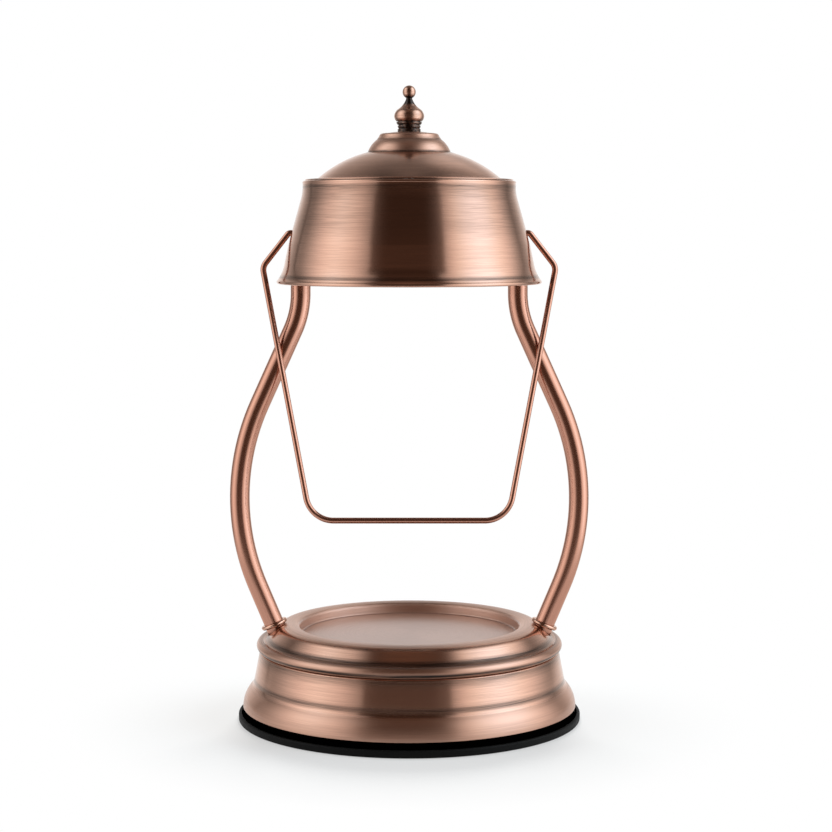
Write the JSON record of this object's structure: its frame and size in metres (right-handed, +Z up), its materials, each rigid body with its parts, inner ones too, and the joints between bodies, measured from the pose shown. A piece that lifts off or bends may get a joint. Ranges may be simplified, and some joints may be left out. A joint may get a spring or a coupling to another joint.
{
  "type": "candle warmer lamp",
  "caption": "Lantern-shaped candle warmer lamp: weighted round base with a recessed dish, bent tube arms, flared hood with a reflector bulb, and a swinging wire bail.",
  "frame": {"origin": "middle of the base, on the surface that the lamp stands on", "axes": "+Z up along the axis of the hood and the base; the two arms stand in the XZ plane; the bail hangs on the -Y side, which is the front; the cord leaves at +Y"},
  "size_m": [0.182, 0.174, 0.32],
  "materials": {
    "copper_hood": "antique copper, brushed and lacquered",
    "copper_dome": "antique copper, satin lacquer",
    "copper_finial": "antique copper, glossy lacquer",
    "copper_skirt": "antique copper, brushed and lacquered",
    "copper_top": "antique copper, spun and lacquered",
    "copper_tube": "antique copper, glossy lacquer",
    "copper_collar": "antique copper, glossy lacquer",
    "copper_wire": "antique copper, glossy lacquer",
    "black_plastic": "satin black",
    "black_rubber": "matte black",
    "foam_rubber": "matte black foam",
    "iron": "raw casting",
    "zinc_steel": "zinc plated",
    "nickel": "nickel plated",
    "white_ceramic": "unglazed, white",
    "coated_glass": "reflector coated inside",
    "clear_glass": "clear"
  },
  "bodies": {
    "lamp": {"nonslip_pad": "foam_rubber", "base_tray": "black_plastic", "tray_screws": "zinc_steel", "ballast_disc": "iron", "base_posts": "zinc_steel", "base_skirt": "copper_skirt", "cord_grommet": "black_rubber", "base_top": "copper_top", "base_bridge": "zinc_steel", "arm_right": "copper_tube", "arm_left": "copper_tube", "arm_collar_right": "copper_collar", "arm_collar_left": "copper_collar", "arm_foot_nuts": "zinc_steel", "arm_head_nuts": "zinc_steel", "mount_plate": "zinc_steel", "hood": "copper_hood", "dome": "copper_dome", "finial": "copper_finial", "hanger_rod": "zinc_steel", "rod_nut": "zinc_steel", "socket_bracket": "zinc_steel", "bracket_screws": "zinc_steel", "socket": "white_ceramic"},
    "bulb": {"bulb_reflector": "coated_glass", "bulb_lens": "clear_glass", "bulb_capsule": "clear_glass", "bulb_base": "white_ceramic", "bulb_pins": "nickel"},
    "bail": {"bail": "copper_wire"}
  },
  "joints": [
    {"name": "bail_swing", "type": "hinge", "parent": "lamp", "child": "bail", "pos_m": [0, 0, 0.2467], "axis": [-1, 0, 0], "range_deg": [0, 347.2]},
    {"name": "bulb_twist", "type": "hinge", "parent": "lamp", "child": "bulb", "pos_m": [0, 0, 0.2675], "axis": [0, 0, -1], "range_deg": [0, 30]}
  ]
}
